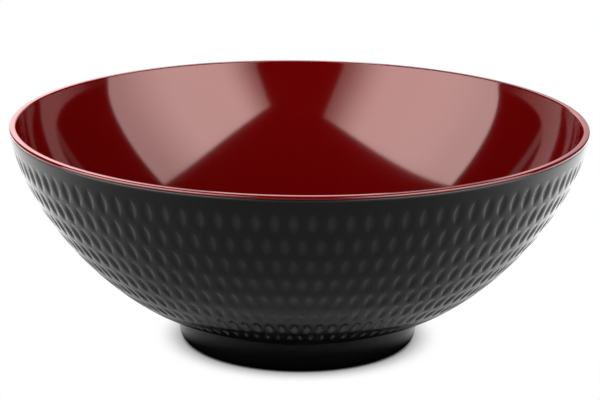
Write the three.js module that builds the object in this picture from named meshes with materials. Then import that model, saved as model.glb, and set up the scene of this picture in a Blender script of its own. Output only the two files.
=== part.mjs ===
// Melamine serving bowl, in millimetres, +Z up, standing on its foot ring at z = 0.
// It is two mouldings bonded into one bowl. The matt black outer shell carries the foot ring
// and the staggered rows of dimples. The glossy red liner lies inside the shell, and its lip
// covers the shell's top edge, so the bowl shows a red rim above a thin parting line.

import * as THREE from 'three';

const degrees = THREE.MathUtils.degToRad;

// Overall sizes
const rimRadius = 142.5;
const bowlHeight = 111.3;

// Wall curve: one cubic from the foot to the rim, seen in section
const rimLean = degrees(82.6);
const rimPull = 42.8;
const footRise = degrees(8);
const footPull = 24.4;
const footHeight = 17.1;

// Wall thicknesses, and the bond line between the two mouldings
const shellWall = 1.9;
const linerWall = 1.4;
const bondGap = 0.2;
const floorWall = 2.7;

// Lip of the liner over the shell's top edge
const lipOuterRounding = 0.9;
const lipInnerRounding = 0.7;
const lipSkirt = 0.5;
const shellEdgeChamfer = 0.3;

// Foot ring, moulded in one with the shell
const footRadius = 59.5;
const footDraft = degrees(10);
const footEdgeRounding = 4.5;
const footLand = 1.2;
const footInnerRounding = 0.8;
const footFillet = 2.5;
const recessDraft = degrees(4);
const recessFillet = 2;

// Dimples: pointed scoops along the wall, each row turned half a dimple's width from the one
// above it. The field turn sets where the first row begins, in widths of one dimple.
const dimplesPerRow = 104;
const dimpleRows = 8;
const rowPitch = 13;
const dimpleLength = 10.8;
const dimpleWidthShare = 0.68;
const dimpleDepth = 0.65;
const fieldTurn = -0.25;
const smoothBand = 7.4;

// How finely the round forms are faceted
const turnSteps = 64;
const wallSteps = 7;
const roundingSteps = 2;
const edgeSteps = 3;
const floorShares = [0.35, 0.7];
const undersideShares = [0.5];

// The wall curve meets the foot's fillet at one end and the lip's rounding at the other
const filletHeight = footHeight - footFillet * Math.cos(footRise);
const footTopRadius = footRadius + (filletHeight - footEdgeRounding) * Math.tan(footDraft);
const filletRadius = footTopRadius + footFillet / Math.cos(footDraft);
const jointRadius = filletRadius - footFillet * Math.sin(footRise);
const wallTop = bowlHeight - lipOuterRounding;
const wallCurve = new THREE.CubicBezierCurve(
  new THREE.Vector2(jointRadius, footHeight),
  new THREE.Vector2(
    jointRadius + footPull * Math.cos(footRise),
    footHeight + footPull * Math.sin(footRise),
  ),
  new THREE.Vector2(
    rimRadius - rimPull * Math.cos(rimLean),
    wallTop - rimPull * Math.sin(rimLean),
  ),
  new THREE.Vector2(rimRadius, wallTop),
);
const wallLength = wallCurve.getLength();

// A point of the section, so far down the wall from the rim and so deep behind the outside
function wallPoint(distance, inset) {
  const share = 1 - distance / wallLength;
  const point = wallCurve.getPointAt(share);
  const along = wallCurve.getTangentAt(share);
  return new THREE.Vector2(point.x - along.y * inset, point.y + along.x * inset);
}

// The wall from the foot up to a distance below the rim, at one depth
function wallPoints(inset, topDistance) {
  const points = [];
  for (let step = 0; step <= wallSteps; step++) {
    const share = step / wallSteps;
    points.push(wallPoint(wallLength + (topDistance - wallLength) * share, inset));
  }
  return points;
}

// The dished floor that carries the wall's curve on to the axis, from the centre outwards
function floorPoints(inset) {
  const edge = wallPoint(wallLength, inset);
  const dish = edge.x * Math.tan(footRise) / 2;
  const heightAt = (share) => edge.y - dish * (1 - share * share);
  return [0, ...floorShares].map((share) => new THREE.Vector2(edge.x * share, heightAt(share)));
}

// A round stretch of a section
function arcPoints(centre, radius, fromAngle, toAngle, steps) {
  const points = [];
  for (let step = 0; step <= steps; step++) {
    const angle = fromAngle + (toAngle - fromAngle) * step / steps;
    points.push(new THREE.Vector2(
      centre.x + radius * Math.cos(angle),
      centre.y + radius * Math.sin(angle),
    ));
  }
  return points;
}

// Red liner: a closed section turned about the axis, underside first, then lip, then inside
function linerGeometry() {
  const outerInset = shellWall + bondGap;
  const innerInset = outerInset + linerWall;
  const underside = [...floorPoints(outerInset), ...wallPoints(outerInset, lipSkirt)];
  const skirtEnd = wallPoint(lipSkirt, 0);
  const outerEdge = arcPoints(
    new THREE.Vector2(rimRadius - lipOuterRounding, wallTop),
    lipOuterRounding, 0, degrees(90), roundingSteps,
  );
  const innerTop = wallPoint(0, innerInset);
  const innerEdge = arcPoints(
    new THREE.Vector2(innerTop.x + lipInnerRounding, bowlHeight - lipInnerRounding),
    lipInnerRounding, degrees(90), degrees(180), roundingSteps,
  );
  const inside = [...floorPoints(innerInset), ...wallPoints(innerInset, 2 * lipInnerRounding)];
  const section = [...underside, skirtEnd, ...outerEdge, ...innerEdge, ...inside.reverse()];
  return new THREE.LatheGeometry(section, turnSteps).rotateX(degrees(90));
}

// Black shell: a skin of rings from the floor's centre up the inside, over the top edge,
// down the dimpled outside and round the foot ring to the recess under the floor
const skinPoints = [];
const skinFaces = [];

// The front of the bowl, towards -Y, is share zero of the turn
function addSkinPoint(place, share) {
  const angle = 2 * Math.PI * share;
  skinPoints.push(place.x * Math.sin(angle), -place.x * Math.cos(angle), place.y);
  return { share, index: skinPoints.length / 3 - 1 };
}

function addRing(place, count, firstShare = 0) {
  const ring = [];
  for (let step = 0; step < count; step++) {
    ring.push(addSkinPoint(place, firstShare + step / count));
  }
  return ring;
}

function addFace(...corners) {
  skinFaces.push(...corners.map((corner) => corner.index));
}

// A band of triangles between two rings, which may differ in count and in their first share
function joinRings(ring, next) {
  const shareOf = (corners, step) => {
    const turns = Math.floor(step / corners.length);
    return corners[step % corners.length].share + turns;
  };
  let here = 0;
  let there = 0;
  while (here < ring.length || there < next.length) {
    const corner = ring[here % ring.length];
    const opposite = next[there % next.length];
    const stepsHere = there === next.length
      || (here < ring.length && shareOf(ring, here + 1) < shareOf(next, there + 1));
    if (stepsHere) {
      here += 1;
      addFace(corner, opposite, ring[here % ring.length]);
    } else {
      there += 1;
      addFace(corner, opposite, next[there % next.length]);
    }
  }
}

// A flat fan of triangles that closes a ring at its centre
function closeRing(ring, centre, facesUp) {
  for (let step = 0; step < ring.length; step++) {
    const corner = ring[step];
    const next = ring[(step + 1) % ring.length];
    addFace(centre, ...(facesUp ? [corner, next] : [next, corner]));
  }
}

function joinPlaces(ring, places, count) {
  let last = ring;
  for (const place of places) {
    const next = addRing(place, count);
    joinRings(last, next);
    last = next;
  }
  return last;
}

// One row of dimples: each has a tip above, a tip below, two sides and a sunk middle
function addDimpleRow(row) {
  const middle = smoothBand + dimpleLength / 2 + row * rowPitch;
  const firstShare = ((row % 2) / 2 + fieldTurn) / dimplesPerRow;
  const halfWidth = dimpleWidthShare / 2 / dimplesPerRow;
  const side = wallPoint(middle, 0);
  const above = addRing(wallPoint(middle - dimpleLength / 2, 0), dimplesPerRow, firstShare);
  const lefts = addRing(side, dimplesPerRow, firstShare - halfWidth);
  const rights = addRing(side, dimplesPerRow, firstShare + halfWidth);
  const sunk = addRing(wallPoint(middle, dimpleDepth), dimplesPerRow, firstShare);
  const below = addRing(wallPoint(middle + dimpleLength / 2, 0), dimplesPerRow, firstShare);
  for (let step = 0; step < dimplesPerRow; step++) {
    const next = (step + 1) % dimplesPerRow;
    addFace(above[step], lefts[step], sunk[step]);
    addFace(above[step], sunk[step], rights[step]);
    addFace(lefts[step], below[step], sunk[step]);
    addFace(sunk[step], below[step], rights[step]);
    addFace(above[step], rights[step], above[next]);
    addFace(rights[step], lefts[next], above[next]);
    addFace(rights[step], below[step], lefts[next]);
    addFace(below[step], below[next], lefts[next]);
  }
  return { above, below };
}

// The foot ring's section from the underside's end to the recess roof
function footPoints(roofHeight) {
  const fillet = arcPoints(
    new THREE.Vector2(filletRadius, filletHeight),
    footFillet, degrees(90) + footRise, degrees(180) - footDraft, roundingSteps,
  );
  const edge = arcPoints(
    new THREE.Vector2(footRadius - footEdgeRounding, footEdgeRounding),
    footEdgeRounding, -footDraft, degrees(-90), edgeSteps,
  );
  const landEnd = footRadius - footEdgeRounding - footLand;
  const innerEdge = arcPoints(
    new THREE.Vector2(landEnd, footInnerRounding),
    footInnerRounding, degrees(-90), degrees(-180), roundingSteps,
  );
  const recessRise = roofHeight - recessFillet - footInnerRounding;
  const recessRadius = landEnd - footInnerRounding - recessRise * Math.tan(recessDraft);
  const roofEdge = arcPoints(
    new THREE.Vector2(recessRadius - recessFillet, roofHeight - recessFillet),
    recessFillet, 0, degrees(90), roundingSteps,
  );
  return [...fillet, ...edge, ...innerEdge, ...roofEdge];
}

function shellGeometry() {
  const shellTop = lipSkirt + bondGap;
  const [floorCentre, ...floor] = floorPoints(shellWall);
  const inside = [...floor, ...wallPoints(shellWall, shellTop)];
  const topEdge = [wallPoint(shellTop, shellEdgeChamfer), wallPoint(shellTop + shellEdgeChamfer, 0)];

  const firstRing = addRing(inside[0], turnSteps);
  closeRing(firstRing, addSkinPoint(floorCentre, 0), true);
  const insideEnd = joinPlaces(firstRing, inside.slice(1), turnSteps);
  let last = joinPlaces(insideEnd, topEdge, dimplesPerRow);
  for (let row = 0; row < dimpleRows; row++) {
    const { above, below } = addDimpleRow(row);
    joinRings(last, above);
    last = below;
  }

  const fieldEnd = smoothBand + (dimpleRows - 1) * rowPitch + dimpleLength;
  const underside = undersideShares.map(
    (share) => wallPoint(fieldEnd + (wallLength - fieldEnd) * share, 0),
  );
  const roofHeight = floorCentre.y - floorWall;
  const roofRing = joinPlaces(last, [...underside, ...footPoints(roofHeight)], turnSteps);
  closeRing(roofRing, addSkinPoint(new THREE.Vector2(0, roofHeight), 0), false);

  const geometry = new THREE.BufferGeometry();
  geometry.setAttribute('position', new THREE.Float32BufferAttribute(skinPoints, 3));
  geometry.setIndex(skinFaces);
  geometry.computeVertexNormals();
  return geometry;
}

// The two mouldings
function moulding(name, geometry, color, roughness) {
  const material = new THREE.MeshStandardMaterial({ color, roughness, metalness: 0 });
  const mesh = new THREE.Mesh(geometry, material);
  mesh.name = name;
  return mesh;
}

const bowl = new THREE.Group();
bowl.add(moulding('outer_shell', shellGeometry(), 0x1d1b1a, 0.55));
bowl.add(moulding('inner_liner', linerGeometry(), 0x8a0609, 0.14));

export default bowl;
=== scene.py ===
# %% [markdown]
# # A dimpled serving bowl
#
# The bowl is two moulded layers. The outer one is matt black, with a foot ring and eight rows
# of scooped dimples. The inner one is glossy red, and its lip covers the black layer's edge.
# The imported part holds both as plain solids. Here each gets a finer mesh and a finish, and
# stands in studio light. One cell does one step, and the cells run from top to bottom.

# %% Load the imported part
import math

import bmesh
import bpy
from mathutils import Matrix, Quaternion, Vector


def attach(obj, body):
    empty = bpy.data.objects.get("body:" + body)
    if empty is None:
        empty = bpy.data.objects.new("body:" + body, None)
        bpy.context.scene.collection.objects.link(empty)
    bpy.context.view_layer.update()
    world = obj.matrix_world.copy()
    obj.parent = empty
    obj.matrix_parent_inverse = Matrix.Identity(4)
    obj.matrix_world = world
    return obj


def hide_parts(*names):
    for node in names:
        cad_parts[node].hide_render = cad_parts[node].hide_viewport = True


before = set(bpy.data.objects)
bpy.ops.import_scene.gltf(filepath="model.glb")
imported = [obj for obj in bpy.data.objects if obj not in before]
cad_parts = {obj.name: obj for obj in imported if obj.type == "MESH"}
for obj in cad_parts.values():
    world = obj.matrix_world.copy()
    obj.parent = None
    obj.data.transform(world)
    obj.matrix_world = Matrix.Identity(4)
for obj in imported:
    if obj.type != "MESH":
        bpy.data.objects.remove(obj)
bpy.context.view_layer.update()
scene = bpy.context.scene

# %% [markdown]
# ## The camera
#
# A product photograph is taken with a long lens from about a metre away, which keeps the rim's
# ellipse calm. The camera could be parented to an empty and turned. A place, a point to aim at
# and a small roll are easier to read, because each is one number or one point.

# %% Place the camera
CAMERA_PLACE = Vector((0.0, -1.03909, 0.36102))
CAMERA_AIM = Vector((0.0006, 0.0, 0.0701))
CAMERA_ROLL = math.radians(0.56)
CAMERA_LENS = 129.69
SENSOR_WIDTH = 36.0
CLIP_NEAR = 0.05
CLIP_FAR = 60.0

camera = bpy.data.objects.new("studio_camera", bpy.data.cameras.new("studio_camera"))
camera.data.lens = CAMERA_LENS
camera.data.sensor_fit = "HORIZONTAL"
camera.data.sensor_width = SENSOR_WIDTH
camera.data.clip_start = CLIP_NEAR
camera.data.clip_end = CLIP_FAR
camera.location = CAMERA_PLACE
camera.rotation_mode = "QUATERNION"
facing = (CAMERA_AIM - CAMERA_PLACE).to_track_quat("-Z", "Y")
camera.rotation_quaternion = facing @ Quaternion((0, 0, 1), CAMERA_ROLL)
scene.collection.objects.link(camera)
scene.camera = camera
scene.view_settings.view_transform = "Standard"
print("camera", round((CAMERA_AIM - CAMERA_PLACE).length, 3), "m from what it aims at")

# %% [markdown]
# ## Sums in node trees
#
# A formula in a node tree is a chain of Math nodes. Wired by hand, even a short one takes a
# dozen lines. The class Wire stands for one output of a node and answers to +, -, * and so on,
# so a formula is written as in Python and adds its own nodes. Graph adds every other node.


# %% Sums and nodes
def find_socket(sockets, name):
    """A socket by its place or by its name. Sockets of another data type are switched off."""
    if isinstance(name, int):
        return sockets[name]
    return next(socket for socket in sockets if socket.name == name and socket.enabled)


class Wire:
    """One output of a node. An operator adds a Math node and gives that node's output."""

    def __init__(self, graph, socket):
        self.graph = graph
        self.socket = socket

    def other(self, name):
        return Wire(self.graph, find_socket(self.socket.node.outputs, name))

    def __add__(self, value):
        return self.graph.sum("ADD", self, value)

    def __radd__(self, value):
        return self.graph.sum("ADD", value, self)

    def __sub__(self, value):
        return self.graph.sum("SUBTRACT", self, value)

    def __rsub__(self, value):
        return self.graph.sum("SUBTRACT", value, self)

    def __mul__(self, value):
        return self.graph.sum("MULTIPLY", self, value)

    def __rmul__(self, value):
        return self.graph.sum("MULTIPLY", value, self)

    def __truediv__(self, value):
        return self.graph.sum("DIVIDE", self, value)

    def __rtruediv__(self, value):
        return self.graph.sum("DIVIDE", value, self)

    def __mod__(self, value):
        return self.graph.sum("FLOORED_MODULO", self, value)

    def __rmod__(self, value):
        return self.graph.sum("FLOORED_MODULO", value, self)

    def __pow__(self, value):
        return self.graph.sum("POWER", self, value)

    def __rpow__(self, value):
        return self.graph.sum("POWER", value, self)

    def __gt__(self, value):
        return self.graph.sum("GREATER_THAN", self, value)

    def __lt__(self, value):
        return self.graph.sum("LESS_THAN", self, value)

    def __abs__(self):
        return self.graph.sum("ABSOLUTE", self)

    def floor(self):
        return self.graph.sum("FLOOR", self)

    def at_least(self, value):
        return self.graph.sum("MAXIMUM", self, value)

    def at_most(self, value):
        return self.graph.sum("MINIMUM", self, value)

    def ramp(self, low, high):
        """A smooth step: 0 up to low, 1 from high on."""
        settings = {"interpolation_type": "SMOOTHSTEP"}
        ends = {"Value": self, "From Min": low, "From Max": high}
        return self.graph.node("ShaderNodeMapRange", settings, ends)


class Graph:
    """Adds nodes to one tree: a material's, the world's or that of Geometry Nodes."""

    def __init__(self, tree):
        self.tree = tree
        tree.nodes.clear()

    def node(self, kind, settings=None, sockets=None, output=0):
        made = self.tree.nodes.new(kind)
        for name, value in (settings or {}).items():
            setattr(made, name, value)
        for name, value in (sockets or {}).items():
            socket = find_socket(made.inputs, name)
            if isinstance(value, Wire):
                self.tree.links.new(value.socket, socket)
            else:
                socket.default_value = value
        return Wire(self, find_socket(made.outputs, output)) if made.outputs else None

    def sum(self, operation, *values):
        sockets = dict(enumerate(values))
        return self.node("ShaderNodeMath", {"operation": operation}, sockets)

    def vector(self, operation, sockets, output=0):
        return self.node("ShaderNodeVectorMath", {"operation": operation}, sockets, output)


print("node helpers ready")

# %% [markdown]
# ## The section
#
# A round bowl is one section turned about its axis. The wall is a single Bezier curve from the
# foot to the rim, and the layers are offsets of it. The sizes are those of the CAD part, in
# millimetres, and MM turns them into metres, the unit of the scene.

# %% Sizes of the section
MM = 0.001
RIM_RADIUS = 142.5 * MM
BOWL_HEIGHT = 111.3 * MM
RIM_LEAN = math.radians(82.6)
RIM_PULL = 42.8 * MM
FOOT_RISE = math.radians(8)
FOOT_PULL = 24.4 * MM
FOOT_HEIGHT = 17.1 * MM
SHELL_WALL = 1.9 * MM
LINER_WALL = 1.4 * MM
BOND_GAP = 0.2 * MM
FLOOR_WALL = 2.7 * MM
LIP_OUTER_ROUNDING = 0.9 * MM
LIP_INNER_ROUNDING = 0.7 * MM
LIP_SKIRT = 0.5 * MM
SHELL_EDGE_ROUNDING = 0.3 * MM
FOOT_RADIUS = 59.5 * MM
FOOT_DRAFT = math.radians(10)
FOOT_EDGE_ROUNDING = 4.5 * MM
FOOT_LAND = 1.2 * MM
FOOT_INNER_ROUNDING = 0.8 * MM
FOOT_FILLET = 2.5 * MM
RECESS_DRAFT = math.radians(4)
RECESS_FILLET = 2 * MM

fillet_height = FOOT_HEIGHT - FOOT_FILLET * math.cos(FOOT_RISE)
foot_top_radius = FOOT_RADIUS + (fillet_height - FOOT_EDGE_ROUNDING) * math.tan(FOOT_DRAFT)
fillet_radius = foot_top_radius + FOOT_FILLET / math.cos(FOOT_DRAFT)
joint_radius = fillet_radius - FOOT_FILLET * math.sin(FOOT_RISE)
wall_top = BOWL_HEIGHT - LIP_OUTER_ROUNDING
wall_handles = [
    Vector((RIM_RADIUS, wall_top)),
    Vector((RIM_RADIUS - RIM_PULL * math.cos(RIM_LEAN), wall_top - RIM_PULL * math.sin(RIM_LEAN))),
    Vector((joint_radius + FOOT_PULL * math.cos(FOOT_RISE),
            FOOT_HEIGHT + FOOT_PULL * math.sin(FOOT_RISE))),
    Vector((joint_radius, FOOT_HEIGHT)),
]
print("wall runs from radius", round(RIM_RADIUS, 4), "to", round(joint_radius, 4), "m")

# %% Points along the wall
CURVE_STEPS = 1200


def curve_at(share):
    """The wall curve's point, share 0 at the rim and 1 at the foot."""
    rest = 1 - share
    weights = (rest ** 3, 3 * rest ** 2 * share, 3 * rest * share ** 2, share ** 3)
    return sum((weight * handle for weight, handle in zip(weights, wall_handles)), Vector((0, 0)))


curve_points = [curve_at(step / CURVE_STEPS) for step in range(CURVE_STEPS + 1)]
curve_lengths = [0.0]
for before, after in zip(curve_points, curve_points[1:]):
    curve_lengths.append(curve_lengths[-1] + (after - before).length)
wall_length = curve_lengths[-1]


def wall_point(distance, inset=0.0):
    """The point so far down the wall from the rim, and so deep behind the outside."""
    beyond = (step for step in range(CURVE_STEPS) if curve_lengths[step + 1] >= distance)
    step = next(beyond, CURVE_STEPS - 1)
    span = curve_lengths[step + 1] - curve_lengths[step]
    part = (distance - curve_lengths[step]) / span
    along = (curve_points[step + 1] - curve_points[step]).normalized()
    inward = Vector((along.y, -along.x))
    return curve_points[step].lerp(curve_points[step + 1], part) + inward * inset


def wall_points(first, last, inset, steps):
    """Evenly spaced points of the wall between two distances from the rim."""
    return [wall_point(first + (last - first) * step / steps, inset) for step in range(steps + 1)]


def arc_points(centre, radius, first, last, steps):
    """A round stretch of the section, between two angles in degrees."""
    angles = [math.radians(first + (last - first) * step / steps) for step in range(steps + 1)]
    return [Vector(centre) + radius * Vector((math.cos(a), math.sin(a))) for a in angles]


def floor_points(inset, steps):
    """The dished floor from the wall's end to the axis."""
    edge = wall_point(wall_length, inset)
    dish = edge.x * math.tan(FOOT_RISE) / 2
    shares = [1 - step / steps for step in range(1, steps + 1)]
    return [Vector((edge.x * share, edge.y - dish * (1 - share ** 2))) for share in shares]


print("wall length", round(wall_length, 4), "m")

# %% [markdown]
# ## Turning a section
#
# Blender can turn a profile with the Screw modifier or with Spin. Both make one count of faces
# all the way, but the dimpled band needs four times as many columns as the plain parts. So the
# rings are laid by hand: a ring of points for each point of the section, and a band of faces
# between two rings, with a band of triangles where the count changes.


# %% Rings and bands of faces
MERGE_DISTANCE = 0.005 * MM


def add_ring(mesh, point, count):
    """A level ring of points. The first one faces the camera, towards -Y."""
    ring = []
    for step in range(count):
        turn = 2 * math.pi * step / count
        place = (point.x * math.sin(turn), -point.x * math.cos(turn), point.y)
        ring.append(mesh.verts.new(place))
    return ring


def join_rings(mesh, ring, other):
    """Faces between two rings. Where one is finer, its extra points fan out from the other."""
    fine, coarse = (ring, other) if len(ring) >= len(other) else (other, ring)
    ratio = len(fine) // len(coarse)
    for step, here in enumerate(coarse):
        there = coarse[(step + 1) % len(coarse)]
        stretch = [fine[(step * ratio + extra) % len(fine)] for extra in range(ratio + 1)]
        if ratio == 1:
            mesh.faces.new((*stretch, there, here))
            continue
        middle = ratio // 2
        for extra in range(ratio):
            mesh.faces.new((stretch[extra], stretch[extra + 1], here if extra < middle else there))
        mesh.faces.new((stretch[middle], there, here))


def join_points(mesh, ring, points, count):
    """Lays a ring at each point and joins it to the one before."""
    for point in points:
        following = add_ring(mesh, point, count)
        join_rings(mesh, ring, following)
        ring = following
    return ring


def close_ring(mesh, ring, height):
    """A fan of triangles that closes a ring on the axis."""
    centre = mesh.verts.new((0, 0, height))
    for step, corner in enumerate(ring):
        mesh.faces.new((corner, ring[(step + 1) % len(ring)], centre))


def finish_piece(mesh, name, material):
    """Turns the faces outwards, smooths them and makes the object, at the origin. Clearing the
    materials first puts every face on the one slot that follows."""
    bmesh.ops.remove_doubles(mesh, verts=mesh.verts, dist=MERGE_DISTANCE)
    bmesh.ops.recalc_face_normals(mesh, faces=mesh.faces)
    for face in mesh.faces:
        face.smooth = True
    data = bpy.data.meshes.new(name)
    mesh.to_mesh(data)
    mesh.free()
    data.materials.clear()
    data.materials.append(material)
    piece = bpy.data.objects.new(name, data)
    scene.collection.objects.link(piece)
    triangles = sum(len(face.vertices) - 2 for face in data.polygons)
    print(name, triangles, "triangles")
    return piece


print("ring helpers ready")

# %% [markdown]
# ## What both finishes share
#
# Each finish starts with an empty node tree and ends at the tree's output. In between, noise
# varies the colour and the roughness a little, and a very low bump breaks up the shine. Those
# steps are the same for black and red, so they are written once.


# %% Steps of a finish
NOISE_MIDDLE = 0.5


def start_material(name):
    """A new material, and the graph that fills its empty tree."""
    material = bpy.data.materials.new(name)
    material.use_nodes = True
    return material, Graph(material.node_tree)


def add_noise(graph, place, scale, detail):
    """A cloudy pattern between 0 and 1, with its middle at 0.5."""
    sockets = {"Vector": place, "Scale": scale, "Detail": detail}
    return graph.node("ShaderNodeTexNoise", None, sockets)


def mix_colors(graph, factor, first, second):
    """The first colour where the factor is 0, the second where it is 1."""
    sockets = {"Factor": factor, "A": first, "B": second}
    return graph.node("ShaderNodeMix", {"data_type": "RGBA"}, sockets, output="Result")


def add_bump(graph, strength, distance, height):
    sockets = {"Strength": strength, "Distance": distance, "Height": height}
    return graph.node("ShaderNodeBump", None, sockets)


def end_finish(graph, sockets):
    """The shader of a finish, joined to the tree's output."""
    shader = graph.node("ShaderNodeBsdfPrincipled", None, sockets)
    graph.node("ShaderNodeOutputMaterial", None, {"Surface": shader})


print("finish helpers ready")

# %% [markdown]
# ## The black finish
#
# The outside is moulded melamine with a fine matt grain, near black and a touch warm. The scoops
# are a little paler than the lands between them, and the lands a little smoother. The foot ring
# is painted darker, a painted shade for the shadow it stands in under the wall. The mesh carries
# how deep a point lies in its scoop as an attribute, which is a better guide than a painted
# texture, because it follows every dimple by itself.

# %% Matt black melamine
BLACK = (0.0040, 0.0037, 0.0035, 1)
PALER_BLACK = (0.0170, 0.0164, 0.0160, 1)
# Painted shade: the foot ring's darker black stands for the shadow under the wall.
FOOT_SHADE_BLACK = (0.0012, 0.0011, 0.0010, 1)
FOOT_END = (15.0 * MM, 17.2 * MM)
CLOUD_SCALE = 22.0
CLOUD_DETAIL = 3.0
CLOUD_PALENESS = 0.3
GRAIN_SCALE = 1400.0
GRAIN_DETAIL = 2.0
GRAIN_STRENGTH = 0.25
GRAIN_HEIGHT = 0.02 * MM
BLACK_ROUGHNESS = 0.24
SCOOP_ROUGHNESS = 0.02
CLOUD_ROUGHNESS = 0.08
GRAIN_ROUGHNESS = 0.05
BLACK_SHINE = 0.5


def make_black():
    material, graph = start_material("matt_black_melamine")
    place = graph.node("ShaderNodeTexCoord", output="Object")
    scoop = graph.node("ShaderNodeAttribute", {"attribute_name": "scoop"}, output="Fac")
    cloud = add_noise(graph, place, CLOUD_SCALE, CLOUD_DETAIL) - NOISE_MIDDLE
    grain = add_noise(graph, place, GRAIN_SCALE, GRAIN_DETAIL)
    # The scoops are mixed towards the paler black by their depth, with a cloudy random tone on
    # top.
    paleness = (scoop + cloud * CLOUD_PALENESS).at_least(0).at_most(1)
    wall_color = mix_colors(graph, paleness, BLACK, PALER_BLACK)
    # Painted shade: below FOOT_END the foot ring is mixed to the darker black, for the shadow
    # under the wall.
    level = graph.node("ShaderNodeSeparateXYZ", None, {"Vector": place}, "Z")
    foot = 1 - level.ramp(*FOOT_END)
    roughness = BLACK_ROUGHNESS + scoop * SCOOP_ROUGHNESS + cloud * CLOUD_ROUGHNESS
    end_finish(graph, {
        "Base Color": mix_colors(graph, foot, wall_color, FOOT_SHADE_BLACK),
        "Roughness": roughness + (grain - NOISE_MIDDLE) * GRAIN_ROUGHNESS,
        "Normal": add_bump(graph, GRAIN_STRENGTH, GRAIN_HEIGHT, grain),
        "Specular IOR Level": BLACK_SHINE,
    })
    return material


black = make_black()
print("finish", black.name)

# %% [markdown]
# ## The red finish
#
# The inside is melamine with a polished glaze: a deep red whose reflections are sharp but not
# those of a mirror. A very shallow long wave in the surface bends the reflected light boxes a
# little, as on a real moulding.

# %% Glazed red melamine
RED = (0.092, 0.0003, 0.0006, 1)
RED_LIGHT = (0.106, 0.0005, 0.0009, 1)
HUE_SCALE = 9.0
HUE_DETAIL = 2.0
WAVE_SCALE = 28.0
WAVE_DETAIL = 1.0
WAVE_STRENGTH = 0.5
WAVE_HEIGHT = 0.03 * MM
POLISH_SCALE = 900.0
POLISH_DETAIL = 2.0
RED_ROUGHNESS = 0.08
HUE_ROUGHNESS = 0.03
POLISH_ROUGHNESS = 0.02
RED_SHINE = 1.0
SHINE_TINT = (1.0, 0.69, 0.65, 1)


def make_red():
    material, graph = start_material("glazed_red_melamine")
    place = graph.node("ShaderNodeTexCoord", output="Object")
    hue = add_noise(graph, place, HUE_SCALE, HUE_DETAIL)
    wave = add_noise(graph, place, WAVE_SCALE, WAVE_DETAIL)
    polish = add_noise(graph, place, POLISH_SCALE, POLISH_DETAIL) - NOISE_MIDDLE
    roughness = RED_ROUGHNESS + (hue - NOISE_MIDDLE) * HUE_ROUGHNESS
    end_finish(graph, {
        "Base Color": mix_colors(graph, hue, RED, RED_LIGHT),
        "Roughness": roughness + polish * POLISH_ROUGHNESS,
        "Normal": add_bump(graph, WAVE_STRENGTH, WAVE_HEIGHT, wave),
        "Specular IOR Level": RED_SHINE,
        "Specular Tint": SHINE_TINT,
    })
    return material


red = make_red()
print("finish", red.name)

# %% [markdown]
# ## The dimpled wall
#
# The dimples follow a rule: 104 scoops round the bowl in each of eight rows, each row turned by
# half a pitch, each scoop as wide as its row allows and always as long. They could be cut with a
# Boolean, which is slow with 832 cutters, or carved by hand. Geometry Nodes do it in one step:
# a grid is rolled onto the wall, its columns close in on the outline of each scoop, and the
# points inside the outline sink. That gives crisp outlines from few faces.

# %% Inputs of the dimple tree
DIMPLES_PER_ROW = 104
DIMPLE_ROWS = 8
COLUMNS = 8
STEPS = 10
ROW_PITCH = 13 * MM
DIMPLE_LENGTH = 10.8 * MM
FIELD_START = 6.3 * MM
FIELD_TURN = -0.25
DIMPLE_WIDTH = 0.68
TIP_WIDTH = 0.10
OUTLINE_POWER = 0.75
HOLLOW_POWER = 1.1
DIMPLE_DEPTH = 0.8 * MM
DEPTH_VARIATION = 0.12
SEED = 7

dimple_tree = bpy.data.node_groups.new("dimpled_wall", "GeometryNodeTree")
dimple_inputs = {}


def add_input(name, kind, value):
    """Adds a named input, and keeps its identifier and value for the modifier."""
    socket = dimple_tree.interface.new_socket(
        name=name, in_out="INPUT", socket_type="NodeSocket" + kind
    )
    dimple_inputs[socket.identifier] = value


dimple_tree.interface.new_socket(
    name="Geometry", in_out="OUTPUT", socket_type="NodeSocketGeometry"
)
for label, handle in zip(("Rim", "Rim Handle", "Foot Handle", "Foot"), wall_handles):
    add_input(label, "Vector", (handle.x, 0.0, handle.y))
add_input("Dimples", "Int", DIMPLES_PER_ROW)
add_input("Rows", "Int", DIMPLE_ROWS)
add_input("Columns", "Int", COLUMNS)
add_input("Steps", "Int", STEPS)
add_input("Field Start", "Float", FIELD_START)
add_input("Field Turn", "Float", FIELD_TURN)
add_input("Row Pitch", "Float", ROW_PITCH)
add_input("Dimple Length", "Float", DIMPLE_LENGTH)
add_input("Dimple Width", "Float", DIMPLE_WIDTH)
add_input("Tip Width", "Float", TIP_WIDTH)
add_input("Outline Power", "Float", OUTLINE_POWER)
add_input("Hollow Power", "Float", HOLLOW_POWER)
add_input("Depth", "Float", DIMPLE_DEPTH)
add_input("Depth Variation", "Float", DEPTH_VARIATION)
add_input("Seed", "Int", SEED)
add_input("Material", "Material", black)
print("dimple tree has", len(dimple_inputs), "inputs")


# %% Where each point of the grid goes
BEFORE_TIP = -1.05


def number_grid(graph, entry):
    """A flat grid, whose points are numbered column by column, and each point's place in it."""
    tall = entry.other("Rows") * entry.other("Steps") + 1
    wide = entry.other("Dimples") * entry.other("Columns") + 1
    grid = graph.node("GeometryNodeMeshGrid", None, {"Vertices X": wide, "Vertices Y": tall})
    index = graph.node("GeometryNodeInputIndex")
    column = ((index + 0.5) / tall).floor()
    step = index - column * tall
    row = ((step + 0.5) / entry.other("Steps")).floor()
    return grid, column, step, row


def place_along(entry, step, row):
    """How far down the wall a point goes. Its level is -1 at the upper tip of its dimple and 1
    at the lower one, and each row's first step lies between two dimples, above the tip."""
    steps, pitch = entry.other("Steps"), entry.other("Row Pitch")
    level = (step - row * steps - steps / 2) / (steps / 2 - 1)
    on_dimple = level > BEFORE_TIP
    fullness = (1 - level * level).at_least(0)
    along = on_dimple * level * entry.other("Dimple Length") / 2 - (1 - on_dimple) * pitch / 2
    distance = entry.other("Field Start") + (row + 0.5) * pitch + along
    return distance, on_dimple, fullness


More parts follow.
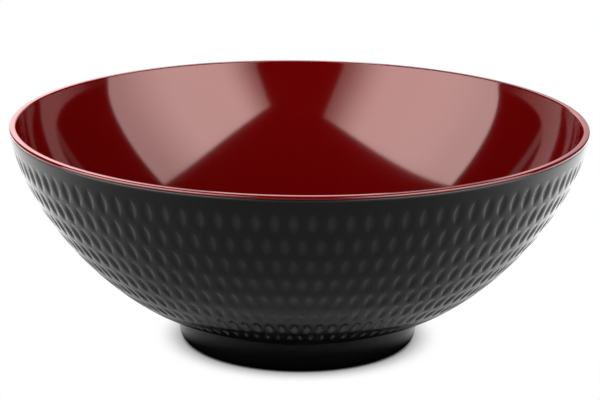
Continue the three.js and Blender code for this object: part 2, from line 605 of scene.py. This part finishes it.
def place_across(entry, column, row, on_dimple, fullness):
    """How far round the bowl a point goes. Across is -1 and 1 at the sides of its dimple."""
    columns = entry.other("Columns")
    place = column - (row % 2) * columns / 2
    offset = place - columns * (place / columns + 0.5).floor()
    across = offset / (columns / 2 - 1)
    inside = on_dimple * (abs(offset) < columns / 2 - 0.5)
    outline = entry.other("Dimple Width") / 2 * fullness ** entry.other("Outline Power")
    half_width = outline.at_least(entry.other("Tip Width") / 2)
    even = offset / columns
    centre = (column - offset) / columns
    turned = centre + entry.other("Field Turn")
    turn = (turned + even + inside * (across * half_width - even)) / entry.other("Dimples")
    return turn, across, centre


print("grid helpers ready")


# %% How deep it sinks, and how the grid is rolled up
CURVE_RESOLUTION = 400
ANY_SIGN = {"Min": -1.0, "Max": 1.0}


def sink_depth(graph, entry, row, centre, across, fullness):
    """A scoop with nearly straight sides, a little different for each dimple."""
    dimples = entry.other("Dimples")
    number = centre % dimples + row * dimples
    spread = graph.node(
        "FunctionNodeRandomValue", {"data_type": "FLOAT"},
        {**ANY_SIGN, "ID": number, "Seed": entry.other("Seed")}, output="Value",
    )
    scoop = fullness * (1 - abs(across) ** entry.other("Hollow Power")).at_least(0)
    depth = entry.other("Depth") * scoop * (1 + spread * entry.other("Depth Variation"))
    return scoop, depth


def roll_onto_wall(graph, entry, distance, depth, turn):
    """The wall's curve gives the place and the direction to sink in, and a turn rolls it up."""
    curve = graph.node(
        "GeometryNodeCurvePrimitiveBezierSegment", {"mode": "POSITION"},
        {"Resolution": CURVE_RESOLUTION, "Start": entry.other("Rim"),
         "Start Handle": entry.other("Rim Handle"), "End Handle": entry.other("Foot Handle"),
         "End": entry.other("Foot")},
    )
    sample = graph.node(
        "GeometryNodeSampleCurve", {"mode": "LENGTH"}, {"Curves": curve, "Length": distance},
        output="Position",
    )
    outward = graph.vector("CROSS_PRODUCT", {0: sample.other("Tangent"), 1: (0, 1, 0)})
    sunk = graph.vector("SCALE", {0: outward, "Scale": depth * -1})
    section = graph.vector("ADD", {0: sample, 1: sunk})
    angle = turn * (2 * math.pi) - math.pi / 2
    return graph.node(
        "ShaderNodeVectorRotate", {"rotation_type": "Z_AXIS"}, {"Vector": section, "Angle": angle}
    )


print("roll helpers ready")


# %% The dimple tree
SEAM_DISTANCE = 0.01 * MM


def make_dimple_tree():
    """The whole tree. The scoop's depth stays on the mesh for the finish, and the seam closes."""
    graph = Graph(dimple_tree)
    entry = graph.node("NodeGroupInput")
    grid, column, step, row = number_grid(graph, entry)
    distance, on_dimple, fullness = place_along(entry, step, row)
    turn, across, centre = place_across(entry, column, row, on_dimple, fullness)
    scoop, depth = sink_depth(graph, entry, row, centre, across, fullness)
    position = roll_onto_wall(graph, entry, distance, depth, turn)
    marked = graph.node(
        "GeometryNodeStoreNamedAttribute", {"data_type": "FLOAT", "domain": "POINT"},
        {"Geometry": grid, "Name": "scoop", "Value": scoop},
    )
    placed = graph.node(
        "GeometryNodeSetPosition", None, {"Geometry": marked, "Position": position}
    )
    closed = graph.node(
        "GeometryNodeMergeByDistance", None, {"Geometry": placed, "Distance": SEAM_DISTANCE}
    )
    real = graph.node("GeometryNodeRealizeInstances", None, {"Geometry": closed})
    finished = graph.node(
        "GeometryNodeSetMaterial", None, {"Geometry": real, "Material": entry.other("Material")}
    )
    graph.node("NodeGroupOutput", None, {"Geometry": finished})


make_dimple_tree()
print("dimple tree has", len(dimple_tree.nodes), "nodes")

# %% Roll the dimpled wall
host = bpy.data.objects.new("dimple_host", bpy.data.meshes.new("dimple_host"))
scene.collection.objects.link(host)
modifier = host.modifiers.new("dimples", "NODES")
modifier.node_group = dimple_tree
for identifier, value in dimple_inputs.items():
    modifier[identifier] = value
depsgraph = bpy.context.evaluated_depsgraph_get()
wall_mesh = bpy.data.meshes.new_from_object(host.evaluated_get(depsgraph), depsgraph=depsgraph)
bpy.data.objects.remove(host)
print("dimpled wall", len(wall_mesh.vertices), "points", len(wall_mesh.polygons), "faces")

# %% [markdown]
# ## The black shell
#
# The dimpled band is open at both ends. The rest of the moulding is turned on to it: up over the
# top edge and down the hidden inside to the floor, then under the floor, round the foot ring
# and into its recess. It ends as one closed skin, which is what a moulding is.

# %% Rest of the shell
PLAIN_COUNT = DIMPLES_PER_ROW * 2
BAND_STEPS = 4
EDGE_CUT = 0.09 * MM
HIDDEN_STEPS = 16
FLOOR_STEPS = 5
UNDER_STEPS = 6
FILLET_STEPS = 8
FOOT_SIDE_SHARES = (0.25, 0.5, 0.75)
FOOT_EDGE_STEPS = 10
FOOT_INNER_STEPS = 4
RECESS_STEPS = 5
CEILING_SHARES = (0.7, 0.4, 0.1)
ring_count = DIMPLES_PER_ROW * COLUMNS
field_end = FIELD_START + DIMPLE_ROWS * ROW_PITCH


def open_end(mesh, is_top):
    """The band's points along one open end, in order round the bowl from -Y on."""
    ring = [None] * ring_count
    for corner in mesh.verts:
        if corner.is_boundary and (corner.co.z > BOWL_HEIGHT / 2) == is_top:
            turn = math.atan2(corner.co.x, -corner.co.y) / (2 * math.pi)
            ring[round(turn * ring_count) % ring_count] = corner
    return ring


def shell_top_points():
    """From the dimples up the smooth band, over the top edge and down the hidden inside."""
    edge = LIP_SKIRT + BOND_GAP
    corner = edge + SHELL_EDGE_ROUNDING
    band = wall_points(FIELD_START, corner, 0.0, BAND_STEPS)[1:]
    rounding = [wall_point(edge + EDGE_CUT, EDGE_CUT), wall_point(edge, SHELL_EDGE_ROUNDING)]
    inside = wall_points(edge, wall_length, SHELL_WALL, HIDDEN_STEPS)
    return [*band, *rounding, *inside, *floor_points(SHELL_WALL, FLOOR_STEPS)]


def shell_foot_points():
    """From the dimples under the wall, down the foot ring and into its recess."""
    roof = floor_points(SHELL_WALL, FLOOR_STEPS)[-1].y - FLOOR_WALL
    under = wall_points(field_end, wall_length, 0.0, UNDER_STEPS)[1:]
    fillet = arc_points(
        (fillet_radius, fillet_height), FOOT_FILLET,
        90 + math.degrees(FOOT_RISE), 180 - math.degrees(FOOT_DRAFT), FILLET_STEPS,
    )[1:]
    edge = arc_points(
        (FOOT_RADIUS - FOOT_EDGE_ROUNDING, FOOT_EDGE_ROUNDING), FOOT_EDGE_ROUNDING,
        -math.degrees(FOOT_DRAFT), -90, FOOT_EDGE_STEPS,
    )
    side = [fillet[-1].lerp(edge[0], share) for share in FOOT_SIDE_SHARES]
    land = FOOT_RADIUS - FOOT_EDGE_ROUNDING - FOOT_LAND
    inner = arc_points(
        (land, FOOT_INNER_ROUNDING), FOOT_INNER_ROUNDING, -90, -180, FOOT_INNER_STEPS
    )
    rise = roof - RECESS_FILLET - FOOT_INNER_ROUNDING
    recess = land - FOOT_INNER_ROUNDING - rise * math.tan(RECESS_DRAFT)
    corner = arc_points(
        (recess - RECESS_FILLET, roof - RECESS_FILLET), RECESS_FILLET, 0, 90, RECESS_STEPS
    )
    ceiling = [Vector((corner[-1].x * share, roof)) for share in CEILING_SHARES]
    return [*under, *fillet, *side, *edge, *inner, *corner, *ceiling]


shell_mesh = bmesh.new()
shell_mesh.from_mesh(wall_mesh)
shell_inside = shell_top_points()
last_ring = join_points(shell_mesh, open_end(shell_mesh, True), shell_inside[:-1], PLAIN_COUNT)
close_ring(shell_mesh, last_ring, shell_inside[-1].y)
shell_foot = shell_foot_points()
last_ring = join_points(shell_mesh, open_end(shell_mesh, False), shell_foot, PLAIN_COUNT)
close_ring(shell_mesh, last_ring, shell_foot[-1].y)
dimpled_shell = finish_piece(shell_mesh, "dimpled_shell", black)
bpy.data.meshes.remove(wall_mesh)

# %% [markdown]
# ## The red liner
#
# The liner is a plain turned layer with a flat-topped lip. Its inside mirrors the studio, and a
# mirror shows every facet, so it gets many more rings than its outline needs.

# %% Turn the liner
LINER_COUNT = 256
LINER_FLOOR_STEPS = 16
LINER_WALL_STEPS = 64
LIP_INNER_STEPS = 6
LIP_OUTER_STEPS = 8
LINER_HIDDEN_STEPS = 24
LINER_UNDER_STEPS = 6
outer_inset = SHELL_WALL + BOND_GAP
inner_inset = outer_inset + LINER_WALL


def liner_points():
    """From the middle of the inside up to the lip, over it and down the hidden underside."""
    inside = floor_points(inner_inset, LINER_FLOOR_STEPS)[::-1]
    wall = wall_points(wall_length, 2 * LIP_INNER_ROUNDING, inner_inset, LINER_WALL_STEPS)
    inner_top = wall_point(0, inner_inset)
    inner_edge = arc_points(
        (inner_top.x + LIP_INNER_ROUNDING, BOWL_HEIGHT - LIP_INNER_ROUNDING),
        LIP_INNER_ROUNDING, 180, 90, LIP_INNER_STEPS,
    )
    outer_edge = arc_points(
        (RIM_RADIUS - LIP_OUTER_ROUNDING, wall_top), LIP_OUTER_ROUNDING, 90, 0, LIP_OUTER_STEPS
    )
    skirt = [wall_point(LIP_SKIRT, 0)]
    under = wall_points(LIP_SKIRT, wall_length, outer_inset, LINER_HIDDEN_STEPS)
    underside = floor_points(outer_inset, LINER_UNDER_STEPS)
    return [*inside, *wall, *inner_edge, *outer_edge, *skirt, *under, *underside]


liner_mesh = bmesh.new()
liner_section = liner_points()
first_ring = add_ring(liner_mesh, liner_section[1], LINER_COUNT)
close_ring(liner_mesh, first_ring, liner_section[0].y)
last_ring = join_points(liner_mesh, first_ring, liner_section[2:-1], LINER_COUNT)
close_ring(liner_mesh, last_ring, liner_section[-1].y)
glazed_liner = finish_piece(liner_mesh, "glazed_liner", red)

# %% [markdown]
# ## The floor
#
# The photograph has a plain white ground, with a soft dark line under the foot. For the camera
# the floor shines at a strength of 1, dimmed close to the bowl by Ambient Occlusion. The black
# wall looks down on it, so its sheen is the floor's reflection. A table that is lit from behind
# is dim in front of the bowl and bright behind it, and dark right at the foot, and a white floor
# would show the same. Instead of lamps far behind, the floor's strength in reflections follows
# that rule. A narrow ring in front of the foot also lights matt surfaces, which lifts the lowest
# dimples. From below the floor is clear, so that the underside can be looked at.

# %% The floor in reflections
MIRRORED = 0.80
RISE = 6.0
RISE_REACH = (0.1, 0.19)
RIGHT_GAIN = 0.12
STRAIGHT_BACK = (0.78, 1.0)
STRAIGHT_BACK_LOSS = 0.8
FAR_FRONT_REACH = (0.4, 0.7)
FAR_FRONT_GAIN = 10
MIDDLE_REACH = (0.21, 0.35)
MIDDLE_SIDE_GAIN = 0.3
MIDDLE_END_LOSS = 0.9
NEAR_FRONT_REACH = (0.08, 0.105)
NEAR_FRONT_GAIN = 0.6


def floor_in_reflections(reach, right, back, front):
    """The floor's strength by the distance and the direction from the bowl's axis."""
    # RISE times brighter behind than at the sides, once clear of the bowl, and as much dimmer
    # in front, a little brighter on the right and dimmer straight behind
    climb = back.at_least(0) * reach.ramp(*RISE_REACH) - front
    lit = RISE ** climb * (1 + right * RIGHT_GAIN)
    lit = lit * (1 - back.ramp(*STRAIGHT_BACK) * STRAIGHT_BACK_LOSS)
    # Farther off brighter at the sides and dimmer in front and behind, and very far off bright
    # in front
    middle = MIDDLE_SIDE_GAIN - abs(back) * MIDDLE_END_LOSS
    lit = lit * (1 + reach.ramp(*MIDDLE_REACH) * middle)
    lit = lit * (1 + front * reach.ramp(*FAR_FRONT_REACH) * FAR_FRONT_GAIN)
    # Brighter again close in front, where the lowest dimples look
    near = 1 - reach.ramp(*NEAR_FRONT_REACH)
    return lit * (1 + front * near * NEAR_FRONT_GAIN) * MIRRORED


print("floor rises", RISE, "times from side to back")

# %% White floor
CONTACT_SAMPLES = 8
CONTACT_DISTANCE = 0.016
CONTACT_RANGE = (0.05, 0.95)
SHADOW_LEAN = 0.018
SHADOW_REACH = (0.055, 0.067)
SPREAD = 14.0
SPREAD_START = (0.085, 0.09)
SPREAD_END = (0.1, 0.115)
PALE = 0.06


def make_floor_material():
    material, graph = start_material("white_floor")
    path = graph.node("ShaderNodeLightPath", output="Is Camera Ray")
    place = graph.node("ShaderNodeTexCoord", output="Object")
    reach = graph.vector("LENGTH", {0: place}, "Value")
    outward = graph.vector("NORMALIZE", {0: place})
    right = graph.node("ShaderNodeSeparateXYZ", None, {"Vector": outward}, "X")
    back = right.other("Y")
    front = back.at_most(0) * -1

    # White for the camera, with a soft dark line at the foot
    contact = graph.node(
        "ShaderNodeAmbientOcclusion", {"samples": CONTACT_SAMPLES},
        {"Distance": CONTACT_DISTANCE}, "AO",
    )
    seen = path * contact.ramp(*CONTACT_RANGE)

    # In reflections as above, and dark right at the foot
    mirrored = path.other("Is Glossy Ray").at_least(path.other("Is Transmission Ray"))
    shadow = (reach + back * SHADOW_LEAN).ramp(*SHADOW_REACH)
    sheen = mirrored * floor_in_reflections(reach, right, back, front) * shadow

    # The ring in front of the foot that lights matt surfaces
    ring = reach.ramp(*SPREAD_START) * (1 - reach.ramp(*SPREAD_END))
    spread = path.other("Is Diffuse Ray") * front * ring * SPREAD

    glow = graph.node("ShaderNodeEmission", None, {"Strength": seen + sheen + spread})
    pale = graph.node("ShaderNodeBsdfDiffuse", None, {"Color": (1 - path) * shadow * PALE})
    shown = graph.node("ShaderNodeAddShader", None, {0: pale, 1: glow})
    clear = graph.node("ShaderNodeBsdfTransparent")
    below = graph.node("ShaderNodeNewGeometry", output="Backfacing")
    sided = graph.node("ShaderNodeMixShader", None, {0: below, 1: shown, 2: clear})
    graph.node("ShaderNodeOutputMaterial", None, {"Surface": sided})
    return material


white = make_floor_material()
print("floor material", white.name)

# %% Lay the floor
FLOOR_RADIUS = 16.0
FLOOR_SIDES = 96


def add_sheet(name, corners, material):
    """A flat stage object through the given corners."""
    data = bpy.data.meshes.new(name)
    data.from_pydata(corners, [], [range(len(corners))])
    data.materials.append(material)
    sheet = bpy.data.objects.new(name, data)
    scene.collection.objects.link(sheet)
    return sheet


floor_turns = [2 * math.pi * side / FLOOR_SIDES for side in range(FLOOR_SIDES)]
floor_corners = [(FLOOR_RADIUS * math.cos(a), FLOOR_RADIUS * math.sin(a), 0) for a in floor_turns]
add_sheet("white_floor", floor_corners, white)
print("floor", FLOOR_RADIUS, "m across its half")

# %% [markdown]
# ## The light
#
# Two tall soft boxes stand left and right of the camera and light the bowl. The red inside
# mirrors them as two pale patches. Low panels far behind are what the flat rim mirrors, brighter
# towards its two ends, and two faint strips show as streaks at the ends of the inside. Each is a
# glowing sheet that the camera doesn't see, and its lower edge stays clear of the floor, so that
# it leaves no dark line there. Lamps of the Area kind would do as well. A sheet has the plain
# advantage that its strength is the brightness that a mirror shows.


# %% Glowing sheets
DIM_END = 0.2
DIM_PART = (0, 0.35)
FADE_PART = (0.6, 1.0)


def make_glow(name, color, strength, fade, turn, inner, outer):
    """A glow that falls to a fifth at the sheet's inner end, and by the share fade at its outer
    end. A fade below 0 makes that end brighter."""
    material, graph = start_material(name)
    place = graph.node("ShaderNodeTexCoord", output="Object")
    axes = graph.node("ShaderNodeSeparateXYZ", None, {"Vector": place}, "X")
    along = axes * math.cos(turn) + axes.other("Y") * math.sin(turn)
    share = (along - inner) / (outer - inner)
    inner_part = DIM_END + share.ramp(*DIM_PART) * (1 - DIM_END)
    outer_part = 1 - share.ramp(*FADE_PART) * fade
    shine = inner_part * outer_part * strength
    glow = graph.node("ShaderNodeEmission", None, {"Color": color, "Strength": shine})
    graph.node("ShaderNodeOutputMaterial", None, {"Surface": glow})
    return material


def add_light(name, color, strength, fade, facing, low, high):
    """A glowing sheet that the camera doesn't see. Facing is the side it stands on, in degrees:
    0 is the camera's and 90 is +X. Low and high are its level edges, each as distance from the
    axis, inner end, outer end and height."""
    turn = math.radians(facing)
    ahead = Vector((math.sin(turn), -math.cos(turn), 0))
    side = Vector((math.cos(turn), math.sin(turn), 0))

    def edge_corners(away, inner, outer, height):
        return [ahead * away + side * end + Vector((0, 0, height)) for end in (inner, outer)]

    corners = [*edge_corners(*low), *reversed(edge_corners(*high))]
    glow = make_glow(name, color, strength, fade, turn, inner=low[1], outer=low[2])
    sheet = add_sheet(name, corners, glow)
    sheet.visible_camera = False
    return sheet


print("light helpers ready")

# %% Soft boxes, back panels and strips
WHITE = (1, 1, 1, 1)
BLUSH = (1, 0.62, 0.64, 1)
CLEAR = 0.02
PANEL_LOW = 0.38
PANEL_TOP = 0.72
STRIP_TOP = 0.9

light_sheets = [
    add_light("soft_box_right", WHITE, strength=4.8, fade=0.45, facing=68,
              low=(1.20, -1.30, 0.54, CLEAR), high=(0.90, -1.17, 0.65, 1.26)),
    add_light("soft_box_left", WHITE, strength=4.8, fade=0.2, facing=-58.5,
              low=(1.19, 0.92, -0.89, CLEAR), high=(0.89, 0.89, -1.10, 1.33)),
    add_light("back_panel_left", BLUSH, strength=2.2, fade=-1, facing=180,
              low=(1.7, -0.30, 0.345, PANEL_LOW), high=(1.5, -0.30, 0.345, PANEL_TOP)),
    add_light("back_panel_right", BLUSH, strength=2.2, fade=0.3, facing=180,
              low=(1.68, -0.24, -0.33, PANEL_LOW), high=(1.48, -0.24, -0.33, PANEL_TOP)),
    add_light("back_side_left", BLUSH, strength=3.3, fade=0.2, facing=180,
              low=(1.75, 0.10, 0.90, CLEAR), high=(1.55, 0.10, 0.90, PANEL_TOP)),
    add_light("back_side_right", BLUSH, strength=1.3, fade=0.2, facing=180,
              low=(1.75, -0.10, -0.80, CLEAR), high=(1.55, -0.10, -0.80, PANEL_TOP)),
    add_light("strip_right", WHITE, strength=0.15, fade=0.3, facing=135,
              low=(1.4, -0.06, 0.06, CLEAR), high=(1.4, -0.06, 0.06, STRIP_TOP)),
    add_light("strip_left", WHITE, strength=0.3, fade=0.3, facing=-133,
              low=(1.4, 0.06, -0.06, CLEAR), high=(1.4, 0.06, -0.06, STRIP_TOP)),
]
print(len(light_sheets), "light sheets")

# %% [markdown]
# ## The dark room
#
# The room is dark in reflections, so that the middle of the red inside stays deep, with a faint
# glow low down where the far floor goes on. The camera sees it white.

# %% Room
ROOM_GLOW = 0.004
HORIZON_GLOW = 0.1
HORIZON = (0.0, 0.08)


def make_room():
    world = bpy.data.worlds.new("studio_room")
    world.use_nodes = True
    graph = Graph(world.node_tree)
    path = graph.node("ShaderNodeLightPath", output="Is Camera Ray")
    mirrored = path.other("Is Glossy Ray").at_least(path.other("Is Transmission Ray"))
    direction = graph.node("ShaderNodeTexCoord", output="Generated")
    level = graph.node("ShaderNodeSeparateXYZ", None, {"Vector": direction}, "Z")
    low_down = 1 - level.ramp(*HORIZON)
    shown = path.at_least(mirrored * low_down * HORIZON_GLOW)
    strength = shown * (1 - ROOM_GLOW) + ROOM_GLOW
    room = graph.node("ShaderNodeBackground", None, {"Strength": strength})
    graph.node("ShaderNodeOutputWorld", None, {"Surface": room})
    return world


scene.world = make_room()
print("world", scene.world.name)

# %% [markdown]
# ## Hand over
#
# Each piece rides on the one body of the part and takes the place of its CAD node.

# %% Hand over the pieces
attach(dimpled_shell, "root")
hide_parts("outer_shell")
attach(glazed_liner, "root")
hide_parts("inner_liner")
